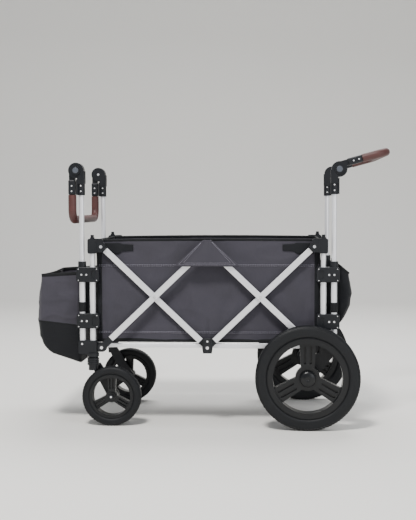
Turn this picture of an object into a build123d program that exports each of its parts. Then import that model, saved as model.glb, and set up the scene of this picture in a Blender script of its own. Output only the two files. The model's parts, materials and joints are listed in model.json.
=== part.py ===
import os
from math import atan2, cos, degrees, hypot, radians, sin, tan

from build123d import *

os.makedirs("parts", exist_ok=True)

# A folding beach cart: a fabric basket on crossed side bars, with castors at the
# pull end (-X), large wheels at the push end (+X) and a folding handle at each end.
# Millimetres. +Z is up, the ground is Z 0 and the cart's left side is -Y.

front = -1
rear = 1

# overall layout
half_span = 340.0
pivot_low_z = 252.0
pivot_high_z = 576.0
post_setback = 29.0
post_spacing = 33.5
inner_post_x = half_span + post_setback
outer_post_x = inner_post_x + post_spacing
side_y = 213.0
handle_setback = 15.5
handle_pivot_x = outer_post_x + handle_setback
handle_pivot_z = 820.0
fold_travel = 25.0
push_angle = 105.0
arm_length = 157.0
arm_offset = 14.0
grip_radius = 13.0

# clearances
running_gap = 0.05
slide_gap = 0.3
lap_gap = 0.5

# tubes
post_radius = 9.5
thin_radius = 8.0
post_bore = thin_radius + running_gap
post_foot_z = 275.0
thin_bore = 6.8
rail_z = 257.0
rail_y = side_y - 16.5
rail_tall = 13.0
rail_wide = 9.2
rail_wall = 1.2
rail_reach = outer_post_x - 2.5
rail_overlap = 60.0
rear_rail_start = 20.0

# crossed bars: the low bars run outside the high bars
bar_width = 19.5
bar_thickness = 8.0
eye_radius = 14.0
eye_thickness = 9.0
pin_radius = 4.0
head_radius = 4.9
high_bar_y = side_y - 5.0
low_bar_y = side_y + 5.0

# clamps that tie each pair of posts
clamp_width = 73.0
clamp_height = 48.0
clamp_depth = 28.0
clamp_x = (inner_post_x + outer_post_x) / 2 - 2.5
clamp_high_z = 487.0
clamp_low_z = 338.0

# wheels
rear_wheel_radius = 165.0
rear_wheel_x = half_span - 22.0
rear_wheel_y = side_y + 49.0
rear_tyre_width = 45.0
rear_rim_width = 44.0
rear_rim_radius = 126.0
rear_axle_radius = 8.0
front_wheel_radius = 95.0
castor_trail = 60.0
front_wheel_x = inner_post_x - castor_trail
front_tyre_width = 40.0
front_rim_width = 36.0
front_rim_radius = 70.0
front_axle_radius = 5.0

# basket and bags
rim_z = 603.0
floor_z = 267.0
cloth = 3.0
basket_half_y = side_y - 23.0
bag_half_y = side_y - 28.0
pocket_half_y = side_y - 28.0
bag_back = outer_post_x + post_radius + 2.0
bag_depth = 122.0
bag_reach = bag_back + bag_depth
pocket_back = bag_back
lap = 5.0

bar_length = hypot(half_span, pivot_high_z - pivot_low_z)
bar_angle = degrees(atan2(pivot_high_z - pivot_low_z, half_span))
grip_tip = (
    handle_pivot_x
    + arm_length * sin(radians(push_angle))
    - arm_offset * sin(radians(push_angle - 90))
    + grip_radius
)
centre_x = -(grip_tip - bag_reach) / 2


def along(end, distance):
    """X of a station at a distance from the basket's middle, towards one end."""
    return centre_x + end * distance


def rod(origin, direction, length, radius, bore=0.0):
    with BuildPart() as item:
        with BuildSketch(Plane(origin=origin, z_dir=direction)):
            Circle(radius)
            if bore > 0:
                Circle(bore, mode=Mode.SUBTRACT)
        extrude(amount=length)
    return item.part


def side_plane(x, y, z, turn=0.0):
    """A plane seen from the left side: its x runs at an angle to +X, its normal is -Y."""
    direction = (cos(radians(turn)), 0, sin(radians(turn)))
    return Plane(origin=(x, y, z), x_dir=direction, z_dir=(0, -1, 0))


def export(node, name):
    node.part.label = name
    export_step(node.part, f"parts/{name}.step")


# posts: a thick inner and outer tube on each side of each end
def posts(end):
    with BuildPart() as node:
        top = clamp_high_z + clamp_height / 2
        for reach in (inner_post_x, outer_post_x):
            start = (along(end, reach), -side_y, post_foot_z)
            add(rod(start, (0, 0, 1), top - post_foot_z, post_radius, post_bore))
        mirror(about=Plane.XZ)
    return node


export(posts(front), "front_posts")
export(posts(rear), "rear_posts")


# clamps, with the collar that guides the handle tube above the upper one
def clamps(end):
    with BuildPart() as node:
        for level in (clamp_high_z, clamp_low_z):
            with BuildPart(mode=Mode.PRIVATE) as one:
                with Locations((along(end, clamp_x), -side_y, level)):
                    Box(clamp_width, clamp_depth, clamp_height)
                fillet(one.edges().filter_by(Axis.Y), 7)
                fillet(one.faces().sort_by(Axis.Y)[0].edges(), 2.5)
                with BuildSketch(side_plane(along(end, clamp_x), -side_y - clamp_depth / 2, level)):
                    with Locations((-end * 20.0, 0)):
                        SlotOverall(30, 14, rotation=90)
                extrude(amount=-3, mode=Mode.SUBTRACT)
                for reach in (inner_post_x, outer_post_x):
                    with Locations((along(end, reach), -side_y, level)):
                        Cylinder(post_radius + running_gap, clamp_height + 10, mode=Mode.SUBTRACT)
            add(one.part)
        mouth = clamp_high_z + clamp_height / 2
        start = (along(end, outer_post_x), -side_y, mouth)
        add(rod(start, (0, 0, 1), 18, 13.0, post_bore))
        mirror(about=Plane.XZ)
    return node


export(clamps(front), "front_clamps")
export(clamps(rear), "rear_clamps")


# lower castings: the foot of each pair of posts, with the lug for the low bar
foot_z = 231.0
foot_inner_y = side_y - 10.5
foot_outer_y = side_y + 12.0
foot_near_x = inner_post_x - 13.0
foot_far_x = outer_post_x + 12.5
lug_y = side_y - 9.7


def foot_block(end):
    with BuildPart() as item:
        middle = along(end, (foot_near_x + foot_far_x) / 2)
        with Locations((middle, -(foot_inner_y + foot_outer_y) / 2, (foot_z + post_foot_z) / 2)):
            Box(foot_far_x - foot_near_x, foot_outer_y - foot_inner_y, post_foot_z - foot_z)
        fillet(item.edges().filter_by(Axis.Y), 6)
        with BuildSketch(side_plane(along(end, half_span), -lug_y, pivot_low_z)):
            Circle(eye_radius + 1)
            with Locations((end * 14, 0)):
                Rectangle(28, 2 * eye_radius + 2)
        extrude(amount=9.2)
        with BuildSketch(side_plane(along(end, half_span), -lug_y, pivot_low_z)):
            Circle(pin_radius)
        extrude(amount=30, mode=Mode.SUBTRACT)
    return item.part


def front_castings():
    with BuildPart() as node:
        add(foot_block(front))
        x_pin = along(front, inner_post_x)
        add(rod((x_pin, -side_y, 222.5), (0, 0, 1), 12, 19.0))
        with Locations((x_pin, -side_y, 240)):
            Cylinder(6 + running_gap, 60, mode=Mode.SUBTRACT)
        rail_face = rail_y + rail_wide / 2
        with Locations((along(front, inner_post_x + 11), -(rail_face + foot_inner_y) / 2, rail_z)):
            Box(36, foot_inner_y - rail_face, 11)
        mirror(about=Plane.XZ)
    return node


def rear_castings():
    with BuildPart() as node:
        add(foot_block(rear))
        axle = (along(rear, rear_wheel_x), rear_wheel_radius)
        with BuildSketch(side_plane(0, -side_y + 10, 0)):
            with BuildLine():
                Polyline(
                    (along(rear, outer_post_x + 7.5), 240),
                    (along(rear, half_span + 10), 240),
                    (axle[0] - 20, axle[1] + 8),
                    (axle[0] + 22, axle[1] - 12),
                    close=True,
                )
            make_face()
            with Locations(axle):
                Circle(22)
        extrude(amount=20)
        add(rod((axle[0], -side_y, axle[1]), (0, -1, 0), 22, 16.0))
        with BuildSketch(side_plane(axle[0], -side_y + 23, axle[1])):
            Circle(rear_axle_radius + running_gap)
        extrude(amount=60, mode=Mode.SUBTRACT)
        mirror(about=Plane.XZ)
    return node


export(front_castings(), "front_castings")
export(rear_castings(), "rear_castings")


# tubes across the cart that carry the end panels, and the rear axle
def cross_tubes(end):
    inner_face = side_y - clamp_depth / 2
    with BuildPart() as node:
        for level in (clamp_high_z, clamp_low_z):
            start = (along(end, inner_post_x), -inner_face, level)
            add(rod(start, (0, 1, 0), 2 * inner_face, thin_radius, thin_bore))
        start = (along(end, outer_post_x - 10.5), -foot_inner_y, foot_z + thin_radius + 1)
        add(rod(start, (0, 1, 0), 2 * foot_inner_y, thin_radius, thin_bore))
    return node


export(cross_tubes(front), "front_cross_tubes")
export(cross_tubes(rear), "rear_cross_tubes")

with BuildPart() as rear_axle:
    reach = rear_wheel_y + rear_rim_width / 2 + 4
    start = (along(rear, rear_wheel_x), -reach, rear_wheel_radius)
    add(rod(start, (0, 1, 0), 2 * reach, rear_axle_radius))
    for side in (-1, 1):
        tip = (start[0], side * reach, start[2])
        add(rod(tip, (0, side, 0), 3, 12.0))
export(rear_axle, "rear_axle")


# bottom rails: the front pair slides inside the rear pair as the cart folds
def rail(start_x, length, tall, wide, wall):
    with BuildPart() as node:
        with BuildSketch(Plane(origin=(start_x, -rail_y, rail_z), x_dir=(0, 1, 0), z_dir=(1, 0, 0))):
            RectangleRounded(wide, tall, 2.0)
            RectangleRounded(wide - 2 * wall, tall - 2 * wall, 1.0, mode=Mode.SUBTRACT)
        extrude(amount=length)
        mirror(about=Plane.XZ)
    return node


front_length = rail_reach + rail_overlap
export(rail(along(front, rail_reach), front_length, rail_tall, rail_wide, rail_wall), "front_rails")
rear_tall = rail_tall + 2 * (rail_wall + 0.15)
rear_wide = rail_wide + 2 * (rail_wall + 0.15)
rear_length = rail_reach - rear_rail_start
export(rail(along(rear, rear_rail_start), rear_length, rear_tall, rear_wide, rail_wall), "rear_rails")


# rivets of the end frames, and the pins the low bars turn on
def frame_rivets(end):
    face = -side_y - clamp_depth / 2
    with BuildPart() as node:
        for level in (clamp_high_z, clamp_low_z):
            for dx in (-clamp_width / 2 + 7, clamp_width / 2 - 7):
                for dz in (-clamp_height / 2 + 6, clamp_height / 2 - 6):
                    spot = (along(end, clamp_x) + dx, face, level + dz)
                    add(rod(spot, (0, -1, 0), 1.2, 1.7))
            for inset in (0, 16):
                spot = (along(end, outer_post_x - inset), face, level)
                add(rod(spot, (0, -1, 0), 1.8, 3.2))
        foot = (along(end, outer_post_x), -foot_outer_y, 264.0)
        add(rod(foot, (0, -1, 0), 1.8, 3.2))
        pivot = (along(end, half_span), -lug_y, pivot_low_z)
        head_y = low_bar_y + eye_thickness / 2 + 1.8
        add(rod(pivot, (0, -1, 0), head_y - lug_y, pin_radius))
        head = (pivot[0], -head_y, pivot[2])
        add(rod(head, (0, -1, 0), 2.0, head_radius))
        mirror(about=Plane.XZ)
    return node


export(frame_rivets(front), "front_frame_rivets")
export(frame_rivets(rear), "rear_frame_rivets")


# crossed bars: a flat tube with a moulded eye at each end
def bar_frame(end, kind):
    """Origin, heading in degrees and Y of a bar: low bars rise from the foot, high bars fall."""
    if kind == "low":
        origin = (along(end, half_span), pivot_low_z)
        heading = bar_angle if end == front else 180 - bar_angle
        return origin, heading, -low_bar_y
    origin = (along(end, half_span), pivot_high_z)
    heading = -bar_angle if end == front else 180 + bar_angle
    return origin, heading, -high_bar_y


def bars(end, kind, silver_from, silver_to):
    origin, heading, y = bar_frame(end, kind)
    with BuildPart() as node:
        with BuildSketch(side_plane(origin[0], y + bar_thickness / 2, origin[1], heading)):
            with Locations(((silver_from + silver_to) / 2, 0)):
                Rectangle(silver_to - silver_from, bar_width)
            with Locations((bar_length / 2, 0)):
                Circle(pin_radius + running_gap, mode=Mode.SUBTRACT)
        extrude(amount=bar_thickness)
        long_edges = [e for e in node.edges() if e.length > 200]
        fillet(long_edges, 2.6)
        mirror(about=Plane.XZ)
    return node


def bar_ends(end, kind, silver_from, silver_to, lap_layer):
    """The outer eye is full thickness; the middle eye is half of it, on one layer."""
    origin, heading, y = bar_frame(end, kind)
    half = eye_thickness / 2
    with BuildPart() as node:
        with BuildSketch(side_plane(origin[0], y + half, origin[1], heading)):
            Circle(eye_radius)
            with Locations((silver_from / 2, 0)):
                Rectangle(silver_from, bar_width + 3)
            Circle(pin_radius + running_gap, mode=Mode.SUBTRACT)
        extrude(amount=eye_thickness)
        layer_y = y + half if lap_layer == 0 else y - 0.15
        with BuildSketch(side_plane(origin[0], layer_y, origin[1], heading)):
            with Locations((bar_length, 0)):
                Circle(eye_radius)
            with Locations(((silver_to + bar_length) / 2, 0)):
                Rectangle(bar_length - silver_to, bar_width)
            with Locations((bar_length, 0)):
                Circle(pin_radius + running_gap, mode=Mode.SUBTRACT)
        extrude(amount=half - 0.15)
        neck_to = bar_length - shoulder
        with BuildSketch(side_plane(origin[0], y + half, origin[1], heading)):
            with Locations(((silver_to + neck_to) / 2, 0)):
                Rectangle(neck_to - silver_to, bar_width)
        extrude(amount=eye_thickness)
        mirror(about=Plane.XZ)
    return node


# the half laps end clear of the mating bar when the cart is folded
closed_angle = 90 - bar_angle - fold_travel
shoulder = bar_width / 2 / tan(radians(closed_angle)) + lap_gap
neck_length = 6.0
low_from = 41.0
low_to = bar_length - shoulder - neck_length
high_from = 16.0
high_to = bar_length - shoulder - neck_length
for end, name, lap_layer in ((front, "front", 0), (rear, "rear", 1)):
    export(bars(end, "low", low_from, low_to), f"{name}_low_bars")
    export(bar_ends(end, "low", low_from, low_to, lap_layer), f"{name}_low_bar_ends")
    export(bars(end, "high", high_from, high_to), f"{name}_high_bars")
    export(bar_ends(end, "high", high_from, high_to, lap_layer), f"{name}_high_bar_ends")


# pins: one at each crossing, one at the top middle
def cross_pin(x, z, y_inner, y_outer, head):
    with BuildPart() as item:
        add(rod((x, -y_inner, z), (0, -1, 0), y_outer - y_inner, pin_radius))
        add(rod((x, -y_outer, z), (0, -1, 0), 1.6, head))
        add(rod((x, -y_inner, z), (0, 1, 0), 1.6, head))
    return item.part


crossing_z = (pivot_low_z + pivot_high_z) / 2
with BuildPart() as front_low_pins:
    inner = high_bar_y - bar_thickness / 2 - slide_gap
    outer = low_bar_y + bar_thickness / 2 + slide_gap
    add(cross_pin(along(front, half_span / 2), crossing_z, inner, outer, head_radius))
    mirror(about=Plane.XZ)
export(front_low_pins, "front_crossing_pins")

with BuildPart() as rear_low_pins:
    add(cross_pin(along(rear, half_span / 2), crossing_z, inner, outer, head_radius))
    mirror(about=Plane.XZ)
export(rear_low_pins, "rear_crossing_pins")


slide_foot_z = 372.0
slide_top_z = pivot_high_z + 14.0


# corner brackets at the top of the inner posts, with their sliding tubes and caps
def top_brackets(end):
    with BuildPart() as node:
        with BuildSketch(side_plane(along(end, inner_post_x), -side_y + 12, pivot_high_z + 2)):
            RectangleRounded(28, 48, 6)
        extrude(amount=24)
        with BuildSketch(side_plane(along(end, half_span), -side_y - 0.4, pivot_high_z)):
            Circle(15)
            with Locations((end * 12, 4)):
                Rectangle(30, 44)
            with Locations((end * 2, 26 - 9)):
                Circle(9)
            Circle(pin_radius, mode=Mode.SUBTRACT)
        extrude(amount=10.0)
        with Locations((along(end, inner_post_x), -side_y, slide_top_z - 22)):
            Cylinder(thin_radius, 44, mode=Mode.SUBTRACT)
        cap = (along(end, inner_post_x), -side_y, pivot_high_z + 26)
        add(rod(cap, (0, 0, 1), 4, 7.5))
        add(rod((cap[0], cap[1], cap[2] + 4), (0, 0, 1), 8, 5.5))
        mirror(about=Plane.XZ)
    return node


def top_pins(end):
    with BuildPart() as node:
        pivot = (along(end, half_span), -(high_bar_y - eye_thickness / 2), pivot_high_z)
        add(rod(pivot, (0, -1, 0), side_y + 10.4 + 0.4 - (high_bar_y - eye_thickness / 2), pin_radius))
        add(rod((pivot[0], -side_y - 10.4, pivot[2]), (0, -1, 0), 1.8, head_radius))
        add(rod((pivot[0], pivot[1] + slide_gap, pivot[2]), (0, 1, 0), 1.6, 6.0))
        add(rod(pivot, (0, 1, 0), slide_gap, pin_radius))
        mirror(about=Plane.XZ)
    return node


def slide_tubes(end):
    with BuildPart() as node:
        start = (along(end, inner_post_x), -side_y, slide_foot_z)
        add(rod(start, (0, 0, 1), slide_top_z - slide_foot_z, thin_radius, thin_bore))
        mirror(about=Plane.XZ)
    return node


for end, name in ((front, "front"), (rear, "rear")):
    export(top_brackets(end), f"{name}_top_brackets")
    export(top_pins(end), f"{name}_top_pins")
    export(slide_tubes(end), f"{name}_slide_tubes")


# middle hubs: an upright cover over each pair of meeting eyes
with BuildPart() as bottom_hubs:
    cover_y = -(high_bar_y + eye_thickness / 2 + slide_gap)
    with BuildSketch(side_plane(centre_x, cover_y, pivot_low_z)):
        with BuildLine():
            Polyline((-14, -18), (14, -18), (17, 0), (12, 30), (-12, 30), (-17, 0), close=True)
        make_face()
    extrude(amount=7)
    fillet(bottom_hubs.faces().sort_by(Axis.Y)[0].edges(), 1.8)
    mirror(about=Plane.XZ)
export(bottom_hubs, "bottom_hubs")

with BuildPart() as bottom_hub_pins:
    inner = high_bar_y - eye_thickness / 2 - slide_gap
    outer = -cover_y + 7
    add(rod((centre_x, -inner, pivot_low_z), (0, -1, 0), -cover_y - inner, pin_radius))
    add(rod((centre_x, -outer, pivot_low_z), (0, -1, 0), 1.8, head_radius))
    add(rod((centre_x, -outer, pivot_low_z + 21), (0, -1, 0), 1.4, 3.2))
    mirror(about=Plane.XZ)
export(bottom_hub_pins, "bottom_hub_pins")

with BuildPart() as top_hubs:
    cover_y = -(low_bar_y + eye_thickness / 2 + slide_gap)
    with BuildSketch(side_plane(centre_x, cover_y, pivot_high_z)):
        RectangleRounded(40, 30, 6)
    extrude(amount=4)
    inner = low_bar_y - eye_thickness / 2 - slide_gap
    add(rod((centre_x, -inner, pivot_high_z), (0, -1, 0), -cover_y - inner, pin_radius))
    mirror(about=Plane.XZ)
export(top_hubs, "top_hubs")

flap_apex_z = 598.0
flap_base_z = 514.0
flap_half = 105.0
with BuildPart() as hub_flaps:
    flap_y = -(low_bar_y + eye_thickness / 2 + slide_gap + 4)
    with BuildSketch(side_plane(centre_x, flap_y, 0)):
        with BuildLine():
            Polyline(
                (-flap_half, flap_base_z),
                (flap_half, flap_base_z),
                (8, flap_apex_z),
                (-8, flap_apex_z),
                close=True,
            )
        make_face()
    extrude(amount=cloth)
    mirror(about=Plane.XZ)
export(hub_flaps, "hub_flaps")


# handle tubes with the forked joint casting on top
handle_tube_foot_z = 400.0
hub_radius = 24.5
fork_inner = 8.3
fork_outer = 13.5
button_radius = 9.5
button_travel = 3.0


def handle_tubes(end):
    with BuildPart() as node:
        start = (along(end, outer_post_x), -side_y, handle_tube_foot_z)
        length = handle_pivot_z - 42 - handle_tube_foot_z
        add(rod(start, (0, 0, 1), length, thin_radius, thin_bore))
        mirror(about=Plane.XZ)
    return node


def joint_casting(end, side):
    """Socket round the handle tube, with two cheeks either side of the arm's hub."""
    x_post = along(end, outer_post_x)
    x_pivot = along(end, handle_pivot_x)
    y = side * side_y
    with BuildPart() as item:
        add(rod((x_post, y, handle_pivot_z - 79), (0, 0, 1), 53, 11.5))
        for turn in (-1, 1):
            plane_y = y + turn * fork_inner
            facing = Plane(origin=(x_pivot, plane_y, handle_pivot_z), x_dir=(1, 0, 0), z_dir=(0, turn, 0))
            with BuildSketch(facing):
                Circle(hub_radius)
            extrude(amount=fork_outer - fork_inner)
            with Locations((x_post, y + turn * (fork_inner + fork_outer) / 2, handle_pivot_z - 22)):
                Box(23, fork_outer - fork_inner, 40)
        rib = handle_setback + 0.5
        with Locations((x_post + end * rib / 2, y, handle_pivot_z - 53)):
            Box(rib, 12, 50)
        with BuildPart(mode=Mode.PRIVATE) as web:
            with Locations((x_post, y, handle_pivot_z - 35)):
                Box(21, 2 * fork_outer, 16)
            with Locations((x_pivot, y, handle_pivot_z)):
                Cylinder(hub_radius + 1.0, 60, rotation=(90, 0, 0), mode=Mode.SUBTRACT)
        add(web.part)
        with Locations((x_post, y, handle_pivot_z - 42 - 40)):
            Cylinder(thin_radius, 80, mode=Mode.SUBTRACT)
        pin = Plane(origin=(x_pivot, y - fork_outer, handle_pivot_z), z_dir=(0, 1, 0))
        with BuildSketch(pin):
            Circle(5.0)
        extrude(amount=2 * fork_outer)
    return item.part


def handle_joints(end):
    with BuildPart() as node:
        add(joint_casting(end, -1))
        x = along(end, handle_pivot_x)
        boss = -side_y - fork_outer
        add(rod((x, boss, handle_pivot_z), (0, -1, 0), 5.5, 14.0))
        with Locations((x, boss - 1.5, handle_pivot_z)):
            Cylinder(button_radius + running_gap, 8.5, rotation=(90, 0, 0), mode=Mode.SUBTRACT)
        add(joint_casting(end, 1))
        add(rod((x, -boss, handle_pivot_z), (0, 1, 0), 3, 8.0))
    return node


def handle_button(end):
    with BuildPart() as node:
        seat_y = -side_y - fork_outer + 2.75
        start = (along(end, handle_pivot_x), seat_y - button_travel - slide_gap, handle_pivot_z)
        add(rod(start, (0, -1, 0), 7.0, button_radius))
        fillet(node.faces().sort_by(Axis.Y)[0].edges(), 1.5)
    return node


def swung(end, swing):
    """The place and turn that carry a hanging handle to its angle."""
    return Location((along(end, handle_pivot_x), 0, handle_pivot_z), (0, -end * swing, 0))


def handle_arms(end, swing):
    """Hub and socket of each arm, drawn hanging from a pivot at the origin."""
    x_arm = end * arm_offset
    with BuildPart() as hanging:
        hub = Plane(origin=(0, -side_y - fork_inner + slide_gap, 0), z_dir=(0, 1, 0))
        with BuildSketch(hub):
            Circle(hub_radius)
            Circle(5.0 + running_gap, mode=Mode.SUBTRACT)
        extrude(amount=2 * (fork_inner - slide_gap))
        with BuildPart(mode=Mode.PRIVATE) as neck:
            with Locations((end * 13.5, -side_y, -22)):
                Box(19, 2 * (fork_inner - slide_gap), 24)
            with Locations((0, -side_y, 0)):
                Cylinder(12, 60, rotation=(90, 0, 0), mode=Mode.SUBTRACT)
        add(neck.part)
        with BuildPart(mode=Mode.PRIVATE) as sleeve:
            with Locations((x_arm, -side_y, -54)):
                Box(23, 25, 48)
            fillet(sleeve.edges(), 5)
        add(sleeve.part)
        mirror(about=Plane.XZ)
    with BuildPart() as node:
        with Locations(swung(end, swing)):
            add(hanging.part)
    return node


def handle_grip(end, swing):
    """The grip's two legs and its cross bar, in one soft rounded sleeve."""
    x_arm = end * arm_offset
    bend = 34.0
    with BuildPart() as hanging:
        with BuildLine() as path:
            FilletPolyline(
                (x_arm, -side_y, -78.05),
                (x_arm, -side_y, -arm_length),
                (x_arm, side_y, -arm_length),
                (x_arm, side_y, -78.05),
                radius=bend,
            )
        with BuildSketch(Plane(origin=(x_arm, -side_y, -78.05), z_dir=(0, 0, -1))):
            Circle(grip_radius)
        sweep()
    with BuildPart() as node:
        with Locations(swung(end, swing)):
            add(hanging.part)
    return node


for end, name, swing in ((front, "front", 0.0), (rear, "rear", push_angle)):
    export(handle_tubes(end), f"{name}_handle_tubes")
    export(handle_joints(end), f"{name}_handle_joints")
    export(handle_button(end), f"{name}_handle_button")
    export(handle_arms(end, swing), f"{name}_handle_arms")
    export(handle_grip(end, swing), f"{name}_handle_grip")


# wheels: a tyre and a three-spoked rim
def tyre(x, y, z, radius, bore, width):
    half = width / 2
    crown = min(half * 0.55, (radius - bore) * 0.4)
    with BuildPart() as node:
        with BuildSketch(Plane(origin=(x, y, z), x_dir=(0, 1, 0), z_dir=(1, 0, 0))):
            with Locations((0, (radius + bore) / 2)):
                RectangleRounded(width, radius - bore, crown)
            with Locations((0, bore + 3)):
                Rectangle(width * 0.8, 6)
            with Locations((-width * 0.22, radius), (0, radius), (width * 0.22, radius)):
                Rectangle(2.4, 4.0, mode=Mode.SUBTRACT)
        revolve(axis=Axis((x, y, z), (0, 1, 0)))
    return node


def rim(x, y, z, radius, band, hub, bore, width, spoke):
    with BuildPart() as node:
        start = Plane(origin=(x, y + width / 2, z), x_dir=(1, 0, 0), z_dir=(0, -1, 0))
        with BuildSketch(start):
            Circle(radius)
            Circle(radius - band, mode=Mode.SUBTRACT)
        extrude(amount=width)
        web = Plane(origin=(x, y + width * 0.3, z), x_dir=(1, 0, 0), z_dir=(0, -1, 0))
        with BuildSketch(web):
            for turn in (0, 120, 240):
                with BuildSketch(mode=Mode.PRIVATE) as arm:
                    with BuildLine():
                        Polyline(
                            (-spoke * 0.42, 0),
                            (spoke * 0.42, 0),
                            (spoke * 0.58, radius - band / 2),
                            (-spoke * 0.58, radius - band / 2),
                            close=True,
                        )
                    make_face()
                add(arm.sketch, rotation=turn)
            Circle(hub * 1.5)
        extrude(amount=width * 0.6)
        with BuildSketch(Plane(origin=(x, y - width * 0.3, z), x_dir=(1, 0, 0), z_dir=(0, -1, 0))):
            for turn in (0, 120, 240):
                middle = (hub * 1.5 + radius - band) / 2
                heading = radians(turn)
                for shift in (-spoke * 0.2, spoke * 0.2):
                    spot = (
                        -middle * sin(heading) + shift * cos(heading),
                        middle * cos(heading) + shift * sin(heading),
                    )
                    with Locations(Location(spot, turn + 90)):
                        SlotOverall((radius - band - hub * 1.5) * 0.82, spoke * 0.16)
        extrude(amount=-width * 0.2, mode=Mode.SUBTRACT)
        with BuildSketch(Plane(origin=(x, y + width / 2, z), x_dir=(1, 0, 0), z_dir=(0, -1, 0))):
            Circle(hub)
        extrude(amount=width)
        with BuildSketch(Plane(origin=(x, y + width, z), x_dir=(1, 0, 0), z_dir=(0, -1, 0))):
            Circle(bore)
        extrude(amount=2 * width, mode=Mode.SUBTRACT)
    return node


for side, name in ((-1, "left"), (1, "right")):
    x = along(rear, rear_wheel_x)
    y = side * rear_wheel_y
    z = rear_wheel_radius
    export(tyre(x, y, z, z, rear_rim_radius, rear_tyre_width), f"rear_{name}_tyre")
    bore = rear_axle_radius + running_gap
    wheel = rim(x, y, z, rear_rim_radius, 17, 26, bore, rear_rim_width, 46)
    export(wheel, f"rear_{name}_rim")
    x = along(front, front_wheel_x)
    y = side * side_y
    z = front_wheel_radius
    export(tyre(x, y, z, z, front_rim_radius, front_tyre_width), f"front_{name}_tyre")
    bore = front_axle_radius + running_gap
    wheel = rim(x, y, z, front_rim_radius, 9, 13, bore, front_rim_width, 25)
    export(wheel, f"front_{name}_rim")


# castor forks: kingpin, ringed spring boot, one-sided arm and stub axle
def castor(side):
    x_pin = along(front, inner_post_x)
    x_hub = along(front, front_wheel_x)
    y = side * side_y
    arm_y = y - side * (front_tyre_width / 2 + 4)
    arm_width = 12.0
    with BuildPart() as node:
        add(rod((x_pin, y, 190), (0, 0, 1), 74, 6.0))
        for level in (199.0, 207.0, 215.0):
            with Locations((x_pin, y, level)):
                Cylinder(19, 5.4)
                Cylinder(16, 8.6)
        with Locations((x_pin, y, 187)):
            Cylinder(15, 16)
        centre_y = arm_y - side * arm_width / 2
        with Locations((x_pin, (y + centre_y - side * arm_width / 2) / 2, 187)):
            Box(26, abs(y - centre_y) + arm_width / 2, 16)
        base = centre_y + arm_width / 2
        with BuildSketch(side_plane(0, base, 0)):
            with BuildLine():
                Polyline(
                    (x_pin - 15, 197),
                    (x_pin + 18, 197),
                    (x_hub + 17, front_wheel_radius + 6),
                    (x_hub - 17, front_wheel_radius - 9),
                    close=True,
                )
            make_face()
            with Locations((x_hub, front_wheel_radius)):
                Circle(19)
        extrude(amount=arm_width)
    return node.part


def castor_fork(side):
    x_hub = along(front, front_wheel_x)
    y = side * side_y
    with BuildPart() as node:
        add(castor(side))
        inner = y - side * (front_tyre_width / 2 + 8)
        axle = front_tyre_width + 10
        add(rod((x_hub, inner, front_wheel_radius), (0, side, 0), axle, front_axle_radius))
        outer = inner + side * axle
        add(rod((x_hub, outer, front_wheel_radius), (0, side, 0), 2.5, 8.0))
    return node


export(castor_fork(-1), "front_left_fork")
export(castor_fork(1), "front_right_fork")


# basket: two cloth halves that lap in the middle, each held by its end frame
def end_panel(end):
    face = inner_post_x - thin_radius - slide_gap
    half_y = basket_half_y if end == rear else basket_half_y - cloth - slide_gap
    with BuildPart() as node:
        with Locations((along(end, face - cloth / 2), 0, (floor_z + rim_z) / 2)):
            Box(cloth, 2 * half_y, rim_z - floor_z)
    return node


def basket_panels(end):
    """Side panels and floor of one half; the front half lies inside the rear half."""
    reach = inner_post_x - thin_radius - slide_gap - cloth
    step = 0.0 if end == rear else cloth + slide_gap
    half_y = basket_half_y - step
    base = floor_z + step
    start = -lap
    middle = along(end, (reach + start) / 2)
    with BuildPart() as node:
        with Locations((middle, -half_y + cloth / 2, (base + rim_z) / 2)):
            Box(reach - start, cloth, rim_z - base)
        with Locations((middle, half_y - cloth / 2, (base + rim_z) / 2)):
            Box(reach - start, cloth, rim_z - base)
        with Locations((middle, 0, base + cloth / 2)):
            Box(reach - start, 2 * half_y, cloth)
    return node


for end, name in ((front, "front"), (rear, "rear")):
    export(end_panel(end), f"{name}_end_panel")
    export(basket_panels(end), f"{name}_basket_panels")


# front bag and rear pocket: open-topped, looped round the outer posts
def looped_bag(end, outline, inside, half_y, loop_z, loop_x):
    with BuildPart() as node:
        with BuildSketch(side_plane(0, half_y, 0)):
            with BuildLine():
                Polyline(*outline, close=True)
            make_face()
        extrude(amount=2 * half_y)
        with BuildSketch(side_plane(0, half_y - cloth, 0)):
            with BuildLine():
                Polyline(*inside, close=True)
            make_face()
        extrude(amount=2 * (half_y - cloth), mode=Mode.SUBTRACT)
        for side in (-1, 1):
            y = side * side_y
            x = along(end, outer_post_x)
            with BuildPart(mode=Mode.PRIVATE) as loop:
                with Locations((x, y, loop_z)):
                    Cylinder(post_radius + slide_gap + 2, 32)
                with Locations(((x + loop_x) / 2, side * (half_y + side_y) / 2, loop_z)):
                    Box(abs(x - loop_x), side_y - half_y, 32)
                with Locations((x, y, loop_z)):
                    Cylinder(post_radius + slide_gap, 40, mode=Mode.SUBTRACT)
            add(loop.part)
    return node


loop_z = 383.0
bag_outline = [
    (along(front, bag_back), 488),
    (along(front, bag_reach - 4), 480),
    (along(front, bag_reach), 286),
    (along(front, bag_reach - 20), 228),
    (along(front, bag_back), 200),
]
bag_inside = [
    (along(front, bag_back + cloth), 520),
    (along(front, bag_reach - 4 - cloth), 520),
    (along(front, bag_reach - cloth), 287),
    (along(front, bag_reach - 20 - cloth), 231),
    (along(front, bag_back + cloth), 203.5),
]
loop_x = along(front, bag_back + 1.5)
front_bag = looped_bag(front, bag_outline, bag_inside, bag_half_y, loop_z, loop_x)
export(front_bag, "front_bag")

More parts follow.
